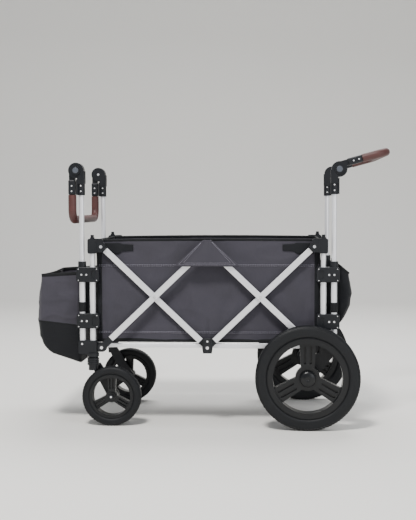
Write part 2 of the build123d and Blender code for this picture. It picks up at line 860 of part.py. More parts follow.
pocket_outline = [
    (along(rear, pocket_back), 517),
    (along(rear, pocket_back + 37), 484),
    (along(rear, pocket_back + 42), 437),
    (along(rear, pocket_back), 319),
]
pocket_inside = [
    (along(rear, pocket_back + cloth), 540),
    (along(rear, pocket_back + 34), 520),
    (along(rear, pocket_back + 39), 438),
    (along(rear, pocket_back + cloth), 334),
]
loop_x = along(rear, pocket_back + 1.5)
rear_pocket = looped_bag(rear, pocket_outline, pocket_inside, pocket_half_y, loop_z, loop_x)
export(rear_pocket, "rear_pocket")
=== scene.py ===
import json
import math

import bmesh
import bpy
import numpy as np
from mathutils import Matrix, Vector, noise


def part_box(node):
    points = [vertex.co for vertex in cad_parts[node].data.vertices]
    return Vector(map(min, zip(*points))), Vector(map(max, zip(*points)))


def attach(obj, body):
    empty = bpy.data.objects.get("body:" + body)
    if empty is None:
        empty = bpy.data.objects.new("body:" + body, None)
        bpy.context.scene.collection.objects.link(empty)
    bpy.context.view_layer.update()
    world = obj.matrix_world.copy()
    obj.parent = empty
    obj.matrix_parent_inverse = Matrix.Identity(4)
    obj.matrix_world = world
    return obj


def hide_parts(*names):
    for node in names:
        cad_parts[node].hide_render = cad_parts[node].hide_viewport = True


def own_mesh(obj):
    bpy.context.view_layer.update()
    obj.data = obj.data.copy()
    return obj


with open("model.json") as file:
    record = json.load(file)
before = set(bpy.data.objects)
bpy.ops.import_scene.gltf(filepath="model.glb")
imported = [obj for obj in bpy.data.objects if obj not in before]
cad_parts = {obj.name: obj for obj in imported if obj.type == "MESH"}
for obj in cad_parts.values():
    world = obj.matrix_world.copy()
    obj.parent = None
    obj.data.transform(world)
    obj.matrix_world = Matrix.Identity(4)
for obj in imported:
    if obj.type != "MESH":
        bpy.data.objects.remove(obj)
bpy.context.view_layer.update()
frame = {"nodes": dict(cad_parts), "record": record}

hubLow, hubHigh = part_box("bottom_hubs")
midX = (hubLow[0] + hubHigh[0]) / 2  # the basket's middle, along the cart
print("frame loaded, basket middle at", round(midX, 4))


def addMesh(name, verts, faces, smooth=True):
    mesh = bpy.data.meshes.new(name)
    mesh.from_pydata([tuple(v) for v in verts], [], [tuple(f) for f in faces])
    mesh.update()
    obj = bpy.data.objects.new(name, mesh)
    bpy.context.collection.objects.link(obj)
    mesh.polygons.foreach_set("use_smooth", [smooth] * len(mesh.polygons))
    return obj


def outward(points, ring):  # unit normals of a grid of points, first index around, second along
    if ring:
        du = np.roll(points, -1, 0) - np.roll(points, 1, 0)
    else:
        du = np.gradient(points, axis=0)
    dv = np.gradient(points, axis=1)
    normal = np.cross(du, dv)
    size = np.linalg.norm(normal, axis=2, keepdims=True)
    return normal / np.maximum(size, 1e-12)


def solidGrid(name, points, thick, ring=False):  # a sheet with real thickness: the grid is its outer face
    nu, nv = points.shape[:2]
    inner = points - outward(points, ring) * thick
    verts = np.concatenate([points.reshape(-1, 3), inner.reshape(-1, 3)])
    shift = nu * nv
    faces = []
    last = nu if ring else nu - 1
    for i in range(last):
        j = (i + 1) % nu
        for k in range(nv - 1):
            a, b, c, d = i * nv + k, j * nv + k, j * nv + k + 1, i * nv + k + 1
            faces.append((a, b, c, d))
            faces.append((a + shift, d + shift, c + shift, b + shift))
        for k in (0, nv - 1):
            a, b = i * nv + k, j * nv + k
            quad = (a, a + shift, b + shift, b)
            faces.append(quad if k == 0 else quad[::-1])
    if not ring:
        for i in (0, nu - 1):
            for k in range(nv - 1):
                a, b = i * nv + k, i * nv + k + 1
                quad = (a, b, b + shift, a + shift)
                faces.append(quad if i == 0 else quad[::-1])
    return addMesh(name, verts, faces)


def sweptBand(name, path, normals, profile, closed):  # profile: (outward, third axis) pairs
    count, sides = len(path), len(profile)
    tangent = np.roll(path, -1, 0) - np.roll(path, 1, 0)
    if not closed:
        tangent = np.gradient(path, axis=0)
    tangent /= np.linalg.norm(tangent, axis=1, keepdims=True)
    third = np.cross(tangent, normals)
    third /= np.linalg.norm(third, axis=1, keepdims=True)
    verts = [
        path[i] + normals[i] * a + third[i] * b
        for i in range(count)
        for a, b in profile
    ]
    faces = []
    for i in range(count if closed else count - 1):
        j = (i + 1) % count
        for k in range(sides):
            m = (k + 1) % sides
            faces.append((i * sides + k, i * sides + m, j * sides + m, j * sides + k))
    if not closed:
        faces.append(tuple(range(sides))[::-1])
        faces.append(tuple((count - 1) * sides + k for k in range(sides)))
    obj = addMesh(name, verts, faces)
    fixNormals(obj)
    return obj


def fixNormals(obj):
    work = bmesh.new()
    work.from_mesh(obj.data)
    bmesh.ops.recalc_face_normals(work, faces=work.faces)
    work.to_mesh(obj.data)
    work.free()


def roundProfile(wide, tall, steps=10):  # a rounded flat section, wide along the normal
    turns = [2 * math.pi * k / steps for k in range(steps)]
    return [
        (
            wide / 2 * math.copysign(abs(math.cos(t)) ** 0.6, math.cos(t)),
            tall / 2 * math.copysign(abs(math.sin(t)) ** 0.6, math.sin(t)),
        )
        for t in turns
    ]


def joined(name, objs):  # several meshes as one object
    verts, faces = [], []
    for obj in objs:
        base = len(verts)
        verts.extend(obj.matrix_world @ v.co for v in obj.data.vertices)
        faces.extend([base + i for i in p.vertices] for p in obj.data.polygons)
        bpy.data.objects.remove(obj)
    return addMesh(name, verts, faces)


def stitchRow(name, path, normals, pitch, length, radius):  # small capsules of thread along a path
    steps = np.linalg.norm(np.diff(path, axis=0), axis=1)
    run = np.concatenate([[0], np.cumsum(steps)])
    verts, faces = [], []
    for start in np.arange(pitch / 2, run[-1] - pitch / 2, pitch):
        reach = (start - length / 2, start + length / 2)
        ends = [np.array([np.interp(s, run, path[:, c]) for c in range(3)]) for s in reach]
        normal = np.array([np.interp(start, run, normals[:, c]) for c in range(3)])
        along = ends[1] - ends[0]
        along /= max(np.linalg.norm(along), 1e-9)
        across = np.cross(along, normal)
        base = len(verts)
        for at, size in ((0.0, 0.5), (0.25, 1.0), (0.75, 1.0), (1.0, 0.5)):
            centre = ends[0] * (1 - at) + ends[1] * at
            for a, b in ((0, 1), (1, 0), (0, -1), (-1, 0)):
                verts.append(centre + (across * a + normal * b) * radius * size)
        for ring in range(3):
            for k in range(4):
                m = (k + 1) % 4
                low, high = base + ring * 4, base + ring * 4 + 4
                faces.append((low + k, low + m, high + m, high + k))
        faces.append((base, base + 3, base + 2, base + 1))
        faces.append((base + 12, base + 13, base + 14, base + 15))
    obj = addMesh(name, verts, faces)
    fixNormals(obj)
    return obj


def linear(code):  # a hex sRGB colour as linear RGBA
    parts = [int(code[i:i + 2], 16) / 255 for i in (1, 3, 5)]
    return tuple(c / 12.92 if c <= 0.04045 else ((c + 0.055) / 1.055) ** 2.4 for c in parts) + (1.0,)


def addNode(tree, kind, settings=None, links=None):
    node = tree.nodes.new(kind)
    for key, value in (settings or {}).items():
        setattr(node, key, value)
    for key, value in (links or {}).items():
        if isinstance(value, bpy.types.NodeSocket):
            tree.links.new(value, node.inputs[key])
        else:
            node.inputs[key].default_value = value
    return node


def newMaterial(name, code, metallic, roughness, ior=1.5, specular=0.5):
    mat = bpy.data.materials.new(name)
    mat.use_nodes = True
    tree = mat.node_tree
    shader = tree.nodes["Principled BSDF"]
    shader.inputs["Base Color"].default_value = linear(code)
    shader.inputs["Metallic"].default_value = metallic
    shader.inputs["Roughness"].default_value = roughness
    shader.inputs["IOR"].default_value = ior
    shader.inputs["Specular IOR Level"].default_value = specular
    place = addNode(tree, "ShaderNodeTexCoord").outputs["Object"]
    return mat, tree, shader, place


def grain(tree, place, sizeMm, detail=3.0, stretch=(1, 1, 1)):  # noise whose features are sizeMm across
    mapped = addNode(tree, "ShaderNodeMapping", None, {"Vector": place, "Scale": stretch})
    links = {"Vector": mapped.outputs["Vector"], "Scale": 1000 / sizeMm, "Detail": detail}
    return addNode(tree, "ShaderNodeTexNoise", None, links).outputs["Fac"]


def bands(tree, place, axis, pitchMm):  # straight ridges pitchMm apart, square to an axis
    scale = 2 * math.pi / (20 * pitchMm / 1000)
    links = {"Vector": place, "Scale": scale}
    return addNode(tree, "ShaderNodeTexWave", {"bands_direction": axis}, links).outputs["Fac"]


def mathNode(tree, operation, a, b):
    return addNode(tree, "ShaderNodeMath", {"operation": operation}, {0: a, 1: b}).outputs[0]


def bump(tree, shader, height, depthMm, strength=1.0):
    links = {"Height": height, "Distance": depthMm / 1000, "Strength": strength}
    node = addNode(tree, "ShaderNodeBump", None, links)
    tree.links.new(node.outputs["Normal"], shader.inputs["Normal"])


def tint(tree, shader, factor, dark, light):  # colour drifts between two tones with a factor
    mix = addNode(tree, "ShaderNodeMix", {"data_type": "RGBA"}, {"Factor": factor})
    mix.inputs["A"].default_value = linear(dark)
    mix.inputs["B"].default_value = linear(light)
    tree.links.new(mix.outputs["Result"], shader.inputs["Base Color"])


def vary(tree, shader, factor, low, high):  # roughness drifts between two values with a factor
    node = addNode(tree, "ShaderNodeMapRange", None, {"Value": factor, "To Min": low, "To Max": high})
    tree.links.new(node.outputs["Result"], shader.inputs["Roughness"])


def anodisedAluminium():  # satin silver tube: a pale metal with fine lengthwise drawing lines
    mat, tree, shader, place = newMaterial("satin anodised aluminium", "#f0f0f3", 0.55, 0.34)
    drawn = grain(tree, place, 1.2, 2.0, (1, 1, 0.15))
    vary(tree, shader, drawn, 0.30, 0.44)
    bump(tree, shader, drawn, 0.02, 0.5)
    return mat


def moldedNylon():  # moulded glass-filled nylon: dark, slightly blue, with a fine pebble and dull sheen
    mat, tree, shader, place = newMaterial("moulded black nylon", "#111317", 0.0, 0.45, 1.5, 0.35)
    pebble = grain(tree, place, 0.8, 2.0)
    cloud = grain(tree, place, 35, 2.0)
    tint(tree, shader, cloud, "#0d0f13", "#15171c")
    vary(tree, shader, cloud, 0.36, 0.52)
    bump(tree, shader, pebble, 0.06, 0.6)
    return mat


def zincSteel():  # bright zinc-plated steel on rivets and pins
    mat, tree, shader, place = newMaterial("bright zinc-plated steel", "#f0f0f2", 0.9, 0.25)
    vary(tree, shader, grain(tree, place, 3), 0.25, 0.30)
    return mat


def tyreRubber():  # foam-filled tyre rubber: near black, dry, with pale dust in its pores
    mat, tree, shader, place = newMaterial("moulded tyre rubber", "#090a0d", 0.0, 0.6, 1.52, 0.3)
    dust = grain(tree, place, 40, 4.0)
    pores = grain(tree, place, 0.9, 2.0)
    tint(tree, shader, dust, "#07080a", "#101216")
    vary(tree, shader, dust, 0.46, 0.7)
    bump(tree, shader, pores, 0.12, 0.6)
    return mat


def rimPlastic():  # moulded rim plastic: black with a soft gloss on its ribs
    mat, tree, shader, place = newMaterial("satin black rim plastic", "#0a0b0e", 0.0, 0.3, 1.5, 0.35)
    cloud = grain(tree, place, 30, 3.0)
    tint(tree, shader, cloud, "#08090b", "#0e1013")
    vary(tree, shader, cloud, 0.24, 0.38)
    bump(tree, shader, grain(tree, place, 0.7), 0.03, 0.5)
    return mat


def polyester(name, dark, light, pitchMm=1.1):  # a plain coated weave, paler where it is worn
    mat, tree, shader, place = newMaterial(name, dark, 0.0, 0.82, 1.46, 0.3)
    warp = bands(tree, place, "X", pitchMm)
    weft = bands(tree, place, "Z", pitchMm)
    depth = bands(tree, place, "Y", pitchMm)
    weave = mathNode(tree, "MULTIPLY", mathNode(tree, "ADD", warp, depth), weft)
    wear = grain(tree, place, 90, 4.0)
    slub = grain(tree, place, 3.5, 3.0, (1, 1, 0.3))
    worn, slubbed = mathNode(tree, "MULTIPLY", wear, 0.75), mathNode(tree, "MULTIPLY", slub, 0.25)
    tint(tree, shader, mathNode(tree, "ADD", worn, slubbed), dark, light)
    vary(tree, shader, wear, 0.74, 0.9)
    rough = mathNode(tree, "ADD", mathNode(tree, "MULTIPLY", weave, 0.5), slub)
    bump(tree, shader, rough, 0.22, 0.55)
    shader.inputs["Sheen Weight"].default_value = 0.12
    shader.inputs["Sheen Roughness"].default_value = 0.5
    return mat


def leatherette():  # reddish brown leatherette: pebbled, darker in its creases, with a worn gloss
    mat, tree, shader, place = newMaterial("pebbled brown leatherette", "#46231f", 0.0, 0.5)
    pebbleMm = 2.2
    links = {"Vector": place, "Scale": 1000 / pebbleMm}
    cell = addNode(tree, "ShaderNodeTexVoronoi", None, links).outputs["Distance"]
    wear = grain(tree, place, 22, 4.0)
    tint(tree, shader, wear, "#381c1a", "#552c28")
    vary(tree, shader, wear, 0.42, 0.62)
    bump(tree, shader, cell, 0.25, 0.6)
    return mat


def webbing():  # black nylon webbing: close ribs across its length
    mat, tree, shader, place = newMaterial("ribbed black webbing", "#08090c", 0.0, 0.75, 1.5, 0.3)
    rib = bands(tree, place, "Z", 1.6)
    tint(tree, shader, grain(tree, place, 12), "#06070a", "#0f1114")
    bump(tree, shader, rib, 0.25, 0.7)
    return mat


def thread():  # grey polyester sewing thread
    mat, tree, shader, place = newMaterial("grey polyester thread", "#85828e", 0.0, 0.7)
    bump(tree, shader, grain(tree, place, 0.5), 0.05, 0.5)
    return mat


def greyButton():  # grey moulded button with a soft gloss
    mat, tree, shader, place = newMaterial("grey moulded button", "#4a4e56", 0.0, 0.35)
    vary(tree, shader, grain(tree, place, 6), 0.28, 0.42)
    return mat


look = {
    "silver_tube": anodisedAluminium(),
    "black_plastic": moldedNylon(),
    "steel": zincSteel(),
    "tyre": tyreRubber(),
    "rim": rimPlastic(),
    "grey_cloth": polyester("grey coated polyester", "#302e34", "#413f48"),
    "black_cloth": polyester("black coated polyester", "#090a0e", "#121419"),
    "grip": leatherette(),
    "button": greyButton(),
}
webbingLook = webbing()
threadLook = thread()

for part in frame["record"]["subparts"]:
    node = frame["nodes"][part["node"]]
    node.data.materials.clear()
    node.data.materials.append(look[part["material_slot"]])
print("materials made")


def dress(obj, material):
    obj.data.materials.clear()
    obj.data.materials.append(material)
    return obj


basket = {
    "halfLength": 0.3608,
    "halfWidth": 0.190,
    "corner": 0.010,
    "foot": 0.2665,
    "tall": 0.336,
    "rimAtEnds": 0.5965,
    "rimRise": 0.0030,
    "thick": 0.0018,
    "seamHigh": 0.515,
    "seamLow": 0.299,
    "step": 0.0045,
    "moves": (-0.007, 0.0095),
}
# soft ridges on each long side: ends (x from middle, z), half width, height, all in mm
creases = [
    (-335, 545, -190, 400, 30, 3.0),
    (-190, 400, -70, 300, 26, 2.2),
    (-300, 310, -175, 455, 24, 2.4),
    (-8, 285, -60, 455, 17, 3.2),
    (8, 285, 52, 440, 17, 3.4),
    (-60, 455, -110, 500, 24, 2.2),
    (60, 440, 120, 495, 26, 2.4),
    (40, 300, 150, 390, 26, 2.2),
    (335, 545, 200, 410, 30, 3.0),
    (200, 410, 110, 320, 26, 2.0),
    (300, 320, 185, 460, 24, 2.4),
    (-330, 500, -322, 290, 9, 2.0),
    (330, 500, 322, 290, 9, 2.0),
    (-250, 590, -120, 560, 14, 1.6),
    (250, 590, 120, 560, 14, 1.6),
    (-240, 300, -110, 318, 11, 1.5),
    (90, 318, 230, 302, 11, 1.5),
    (0, 268, 0, 335, 4.0, -4.5),
    (-10, 270, -12, 330, 4.5, 2.0),
    (10, 270, 12, 330, 4.5, 2.0),
]


def creaseHeight(x, z, lines):  # sum of soft ridges, in metres, at points given from the basket's middle
    total = np.zeros_like(x)
    for x0, z0, x1, z1, wide, tall in lines:
        ax, az, bx, bz = x0 / 1000, z0 / 1000, x1 / 1000, z1 / 1000
        dx, dz = bx - ax, bz - az
        t = np.clip(((x - ax) * dx + (z - az) * dz) / (dx * dx + dz * dz), -0.15, 1.15)
        gap = np.hypot(x - ax - t * dx, z - az - t * dz) / (wide / 1000)
        total += tall / 1000 * np.exp(-gap ** 2) * np.sin(np.clip((t + 0.15) / 1.3, 0, 1) * math.pi) ** 0.7
    return total


def softNoise(x, y, z, size, seed):
    flat = np.stack([x.ravel(), y.ravel(), z.ravel()], 1) / size + seed
    return np.array([noise.noise(Vector(p)) for p in flat]).reshape(x.shape)


def clothDrift(x, y, z):  # slow waves, small puckers and a few sharper crease lines
    crease = (1 - np.abs(softNoise(x, y, z, 0.11, 5.3))) ** 9
    return softNoise(x, y, z, 0.075, 3.7) * 0.0022 + softNoise(x, y, z, 0.028, 9.1) * 0.0009 + crease * 0.0016


def roundedRectangle(halfX, halfY, corner, step):  # points and normals, anticlockwise
    points, normals = [], []
    centres = [(halfX - corner, -(halfY - corner), -90), (halfX - corner, halfY - corner, 0),
               (-(halfX - corner), halfY - corner, 90), (-(halfX - corner), -(halfY - corner), 180)]
    for k, (cx, cy, start) in enumerate(centres):
        for turn in np.linspace(start, start + 90, 9):
            a = math.radians(turn)
            points.append((cx + corner * math.cos(a), cy + corner * math.sin(a)))
            normals.append((math.cos(a), math.sin(a)))
        nx, ny, begin = centres[(k + 1) % 4]
        a = math.radians(begin)
        end = np.array([nx + corner * math.cos(a), ny + corner * math.sin(a)])
        here = np.array(points[-1])
        count = max(2, int(np.linalg.norm(end - here) / step))
        for s in range(1, count):
            points.append(tuple(here + (end - here) * s / count))
            normals.append(normals[-1])
    return np.array(points), np.array(normals)


ringPoints, ringNormals = roundedRectangle(
    basket["halfLength"], basket["halfWidth"], basket["corner"], basket["step"]
)


def rimHeight(x):
    return basket["rimAtEnds"] + basket["rimRise"] * (1 - (x / basket["halfLength"]) ** 2)


def basketSurface(share, lift=0.0):  # outer face: share 0 is the foot, 1 the rim
    share = np.atleast_1d(share)
    x = np.repeat(ringPoints[:, :1], len(share), 1)
    y = np.repeat(ringPoints[:, 1:], len(share), 1)
    top = rimHeight(x)
    z = basket["foot"] + (top - basket["foot"]) * share[None, :]
    return clothPoints(x, y, z, lift)


def looseness(tall):  # how freely the cloth moves: not at its foot, a little at its rim
    return np.clip(tall / 0.06, 0, 1) * np.clip((1 - tall) / 0.05, 0.25, 1)


def sag(tall):  # a slight belly, deepest halfway up
    return 0.0018 * np.sin(np.clip(tall, 0, 1) * math.pi)


def clothPoints(x, y, z, lift=0.0):  # the cloth's real points, with its folds and drift
    nx = np.repeat(ringNormals[:, :1], x.shape[1], 1)
    ny = np.repeat(ringNormals[:, 1:], x.shape[1], 1)
    side = np.clip((np.abs(ny) - 0.5) * 2, 0, 1)
    end = np.clip((np.abs(nx) - 0.5) * 2, 0, 1)
    tall = (z - basket["foot"]) / basket["tall"]
    free = looseness(tall)
    folds = creaseHeight(x, z, creases)
    drift = clothDrift(x, y, z)
    slack = sag(tall)
    endFolds = 0.0016 * np.sin(y / 0.046) * np.sin(np.clip(tall, 0, 1) * math.pi)
    lateral = side * (folds + slack + drift) * free + end * np.minimum(endFolds + drift - 0.002, 0) * free
    out = np.clip(lateral, *basket["moves"]) + lift
    return np.stack([midX + x + nx * out, y + ny * out, z], 2)


levels = np.linspace(0, 1, 72)
basketCloth = solidGrid("basketCloth", basketSurface(levels), basket["thick"], ring=True)
dress(basketCloth, look["grey_cloth"])


def ringLine(height, lift=0.0):  # a closed line round the cloth at a height; None follows the rim
    x = ringPoints[:, :1]
    y = ringPoints[:, 1:]
    z = rimHeight(x) if height is None else np.full_like(x, height)
    line = clothPoints(x, y, z, lift)[:, 0]
    normals = np.concatenate([ringNormals, np.zeros((len(ringNormals), 1))], 1)
    return line, normals


rimLine, flatNormals = ringLine(None)
rimLine = rimLine - flatNormals * 0.001
rimDrop = np.array([0, 0, 0.0015])
rimProfile = roundProfile(0.0050, 0.0085, 12)
rimBinding = sweptBand("rimBinding", rimLine - rimDrop, flatNormals, rimProfile, True)
dress(rimBinding, webbingLook)
footLine, flatNormals = ringLine(basket["foot"] + 0.0065)
footProfile = roundProfile(0.0032, 0.0125, 12)
footBand = sweptBand("footBand", footLine - flatNormals * 0.0012, flatNormals, footProfile, True)
dress(footBand, webbingLook)
seamBands = []
for height in (basket["seamHigh"], basket["seamLow"]):
    line, flatNormals = ringLine(height, 0.0002)
    seamBands.append(sweptBand("seamBand", line, flatNormals, roundProfile(0.0016, 0.007, 8), True))
seams = dress(joined("basketSeams", seamBands), look["grey_cloth"])
rows = []
for height in (basket["seamHigh"], basket["seamLow"]):
    for offset in (-0.0021, 0.0021):
        line, flatNormals = ringLine(height + offset, 0.0012)
        rows.append(stitchRow("row", line, flatNormals, 0.0056, 0.0040, 0.0006))
basketStitches = dress(joined("basketStitches", rows), threadLook)
print("basket cloth made")


def cornerPatch(name, side, end):  # a black reinforcement with a narrow tail, on the cloth
    stations = np.linspace(0.240, 0.338, 22)
    top = np.interp(stations, [0.240, 0.276, 0.284, 0.338], [-0.006, -0.004, 0.0, 0.0])
    low = np.interp(stations, [0.240, 0.276, 0.286, 0.338], [-0.026, -0.028, -0.036, -0.036])
    grid = np.zeros((22, 9, 3))
    for i, (x, a, b) in enumerate(zip(stations, top, low)):
        for k, share in enumerate(np.linspace(0, 1, 9)):
            z = 0.588 + a + (b - a) * share
            grid[i, k] = patchPoint(end * x, z, side, 0.0016)
    if side * end > 0:
        grid = grid[::-1]
    return solidGrid(name, grid, 0.0014)


def patchPoint(x, z, side, lift):  # a point on a long side's cloth, raised by lift
    xs, zs = np.array([[x]]), np.array([[z]])
    tall = (zs - basket["foot"]) / basket["tall"]
    free = looseness(tall)
    ys = np.array([[side * basket["halfWidth"]]])
    drift = clothDrift(xs, ys, zs)
    slack = sag(tall)
    out = np.clip((creaseHeight(xs, zs, creases) + slack + drift) * free, *basket["moves"])
    return (midX + x, side * (basket["halfWidth"] + out[0, 0] + lift), z)


corners = []
for cornerX in (-1, 1):
    for cornerY in (-1, 1):
        spot = np.array([cornerX * basket["halfLength"], cornerY * basket["halfWidth"]])
        near = [i for i, p in enumerate(ringPoints) if np.abs(p - spot).max() < 0.021]
        if near[-1] - near[0] > len(ringPoints) // 2:
            middle = len(ringPoints) // 2
            near = [i for i in near if i > middle] + [i for i in near if i < middle]
        corners.append(solidGrid("corner", basketSurface(levels, 0.0013)[near], 0.0014))
cornerStrips = dress(joined("cornerStrips", corners), look["black_cloth"])
fixNormals(cornerStrips)
patches = [cornerPatch("patch", side, end) for side in (-1, 1) for end in (-1, 1)]
cornerPatches = dress(joined("cornerPatches", patches), look["black_cloth"])
fixNormals(cornerPatches)


mat = {
    "halfLength": 0.347,
    "halfWidth": 0.176,
    "base": 0.2705,
    "thick": 0.010,
    "voxel": 0.006,
    "cap": 0.004,
    "channels": (-0.173, 0.0, 0.173),
}


def padBlock(name):  # the mat before it swells, with its channels pressed in
    xs = np.linspace(-mat["halfLength"], mat["halfLength"], 90)
    ys = np.linspace(-mat["halfWidth"], mat["halfWidth"], 46)
    gx, gy = np.meshgrid(xs, ys, indexing="ij")
    edge = np.minimum(mat["halfLength"] - np.abs(gx), mat["halfWidth"] - np.abs(gy))
    crown = np.clip(edge / 0.012, 0, 1) ** 0.5
    press = sum(np.exp(-((gx - c) / 0.006) ** 2) for c in mat["channels"])
    height = mat["thick"] * (0.35 + 0.65 * crown) - 0.005 * press * crown
    grid = np.stack([midX + gx, gy, mat["base"] + height], 2)
    base = np.stack([midX + gx, gy, np.full_like(gx, mat["base"])], 2)
    nu, nv = gx.shape
    verts = np.concatenate([grid.reshape(-1, 3), base.reshape(-1, 3)])
    shift = nu * nv
    faces = []
    for i in range(nu - 1):
        for k in range(nv - 1):
            a, b, c, d = i * nv + k, (i + 1) * nv + k, (i + 1) * nv + k + 1, i * nv + k + 1
            faces.append((a, b, c, d))
            faces.append((a + shift, d + shift, c + shift, b + shift))
    rim = [i * nv for i in range(nu)] + [(nu - 1) * nv + k for k in range(1, nv)]
    rim += [i * nv + nv - 1 for i in range(nu - 2, -1, -1)] + [k for k in range(nv - 2, 0, -1)]
    for a, b in zip(rim, rim[1:] + rim[:1]):
        faces.append((a, a + shift, b + shift, b))
    obj = addMesh(name, verts, faces)
    fixNormals(obj)
    return obj


def swell(obj, voxel, cap, pressure=4.0, frames=20):  # puffs a pad, no point by more than cap
    rest = obj.modifiers.new("remesh", "REMESH")
    rest.mode = "VOXEL"
    rest.voxel_size = voxel
    bpy.context.view_layer.objects.active = obj
    bpy.ops.object.modifier_apply(modifier=rest.name)
    start = np.array([v.co for v in obj.data.vertices])
    cloth = obj.modifiers.new("cloth", "CLOTH")
    cloth.settings.use_pressure = True
    cloth.settings.uniform_pressure_force = pressure
    cloth.settings.effector_weights.gravity = 0
    cloth.settings.quality = 5
    cloth.collision_settings.use_collision = False
    scene = bpy.context.scene
    scene.frame_start, scene.frame_end = 1, frames
    for step in range(1, frames + 1):
        scene.frame_set(step)
    moved = obj.evaluated_get(bpy.context.evaluated_depsgraph_get()).data
    final = np.array([v.co for v in moved.vertices])
    shift = final - start
    far = np.linalg.norm(shift, axis=1, keepdims=True)
    final = start + shift * np.minimum(1, cap / np.maximum(far, 1e-9))
    final[:, 2] = np.maximum(final[:, 2], mat["base"])
    obj.modifiers.remove(cloth)
    scene.frame_set(1)
    for v, place in zip(obj.data.vertices, final):
        v.co = place
    obj.data.update()
    obj.data.polygons.foreach_set("use_smooth", [True] * len(obj.data.polygons))
    return obj


floorMat = padBlock("floorMat")
swell(floorMat, mat["voxel"], mat["cap"])
dress(floorMat, look["black_cloth"])
print("floor mat made")

basketTrim = [rimBinding, footBand, seams, basketStitches, cornerPatches, cornerStrips]
for piece in (basketCloth, *basketTrim, floorMat):
    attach(piece, "rear_frame")
    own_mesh(piece)
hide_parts("front_basket_panels", "rear_basket_panels", "front_end_panel", "rear_end_panel")


flap = {"apex": 0.5975, "base": 0.5135, "half": 0.106, "tip": 0.012, "y": 0.2272, "thick": 0.0018}


def flapGrid(side, nu=44, nv=30):
    grid = np.zeros((nu, nv, 3))
    for k, drop in enumerate(np.linspace(0, 1, nv)):
        half = flap["tip"] + (flap["half"] - flap["tip"]) * drop
        for i, across in enumerate(np.linspace(-1, 1, nu)):
            x = across * half
            z = flap["apex"] - (flap["apex"] - flap["base"]) * drop
            z = z - 0.0012 * math.sin(drop * 3) * (1 - across ** 2)
            tent = 0.0028 * (1 - abs(across)) * math.sin(drop * math.pi * 0.9)
            tent = tent + 0.0009 * math.sin(across * 7 + drop * 4)
            grid[i, k] = (midX + x, side * (flap["y"] + flap["thick"] + tent + 0.0009), z)
    return grid if side > 0 else grid[::-1]


def flapParts(side):
    grid = flapGrid(side)
    cloth = solidGrid("flapCloth", grid, flap["thick"])
    rows = []
    nu, nv = grid.shape[:2]
    normals = outward(grid, False)
    for inset in (2, 4):
        left = [(inset, k) for k in range(2, nv - inset)]
        right = [(nu - 1 - inset, k) for k in range(nv - inset - 1, 1, -1)]
        low = [(i, nv - 1 - inset) for i in range(inset, nu - inset)]
        trail = left + low + right
        path = np.array([grid[i, k] + normals[i, k] * 0.0003 for i, k in trail])
        facing = np.array([normals[i, k] for i, k in trail])
        rows.append(stitchRow("row", path, facing, 0.0052, 0.0036, 0.0006))
    return cloth, rows


for side in (-1, 1):
    cloth, rows = flapParts(side)
    name = "hubFlapLeft" if side < 0 else "hubFlapRight"
    cloth.name = name
    fixNormals(cloth)
    dress(cloth, look["grey_cloth"])
    stitches = dress(joined(name + "Stitches", rows), threadLook)
    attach(cloth, "top_hub")
    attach(stitches, "top_hub")
    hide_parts("hub_flaps")
print("hub flaps made")


def loftBag(shape, tBegin, tEnd, closeFoot, rows=46):  # rings from the mouth down
    around, normals = roundedRectangle(shape["deep"] / 2, shape["wide"], shape["corner"], 0.006)
    # unit outline: x 0 at the back and 1 at the front, y -1 to 1
    unit = np.stack([around[:, 0] / shape["deep"] + 0.5, around[:, 1] / shape["wide"]], 1)
    grid = []
    for t in np.linspace(tBegin, tEnd, rows):
        grid.append(bagRing(shape, unit, t, 1.0))
    if closeFoot:
        for shrink in (0.93, 0.8, 0.6, 0.35, 0.12, 0.004):
            grid.append(bagRing(shape, unit, 1.0, shrink))
    points = np.array(grid).transpose(1, 0, 2)
    if shape["end"] > 0:
        points = points[::-1]
    return points


def bagRing(shape, unit, t, shrink):
    end = shape["end"]
    front = np.interp(t, shape["downs"], shape["fronts"])
    half = np.interp(t, shape["downs"], shape["halves"])
    back = shape["back"]
    ux = 0.5 + (unit[:, 0] - 0.5) * shrink
    uy = unit[:, 1] * shrink
    tuck = shape["tuck"] * max(0.0, (t - 0.9) / 0.1) ** 2 if shrink == 1.0 else shape["tuck"]
    x = back + (front - tuck - back) * ux
    y = (half - tuck * 0.6) * uy
    top = shape["topBack"] + (shape["topFront"] - shape["topBack"]) * ux - shape["dip"] * (1 - uy ** 2)
    foot = shape["footBack"] + (shape["footFront"] - shape["footBack"]) * ux
    z = top + (foot - top) * t
    if shrink < 1.0:
        z = z - 0.002 * (1 - shrink)
    slack = math.sin(min(t, 1) * math.pi)
    seed = shape["seed"]
    spots = list(zip(x, y, z))
    wave = np.array([noise.noise(Vector((a / 0.055 + seed, b / 0.07, c / 0.10))) for a, b, c in spots])
    fine = np.array([noise.noise(Vector((a / 0.02, b / 0.02 + seed, c / 0.035))) for a, b, c in spots])
    ridge = [noise.noise(Vector((a / 0.09, b / 0.09, c / 0.06 + seed))) for a, b, c in spots]
    crease = np.array([(1 - abs(height)) ** 9 for height in ridge])
    crumple = shape["wrinkle"] * (wave + fine * 0.35 + crease * 0.5) * (0.35 + slack)
    puff = (shape["bulge"] * slack * 0.7 + crumple) * (1 if shrink == 1.0 else 0)
    side = np.abs(uy) > np.abs(ux - 0.5) * 2
    y = y + np.where(side, np.sign(uy) * puff, 0)
    x = x + np.where(~side & (ux > 0.5), puff, 0)
    return np.stack([midX + end * x, y, z], 1)


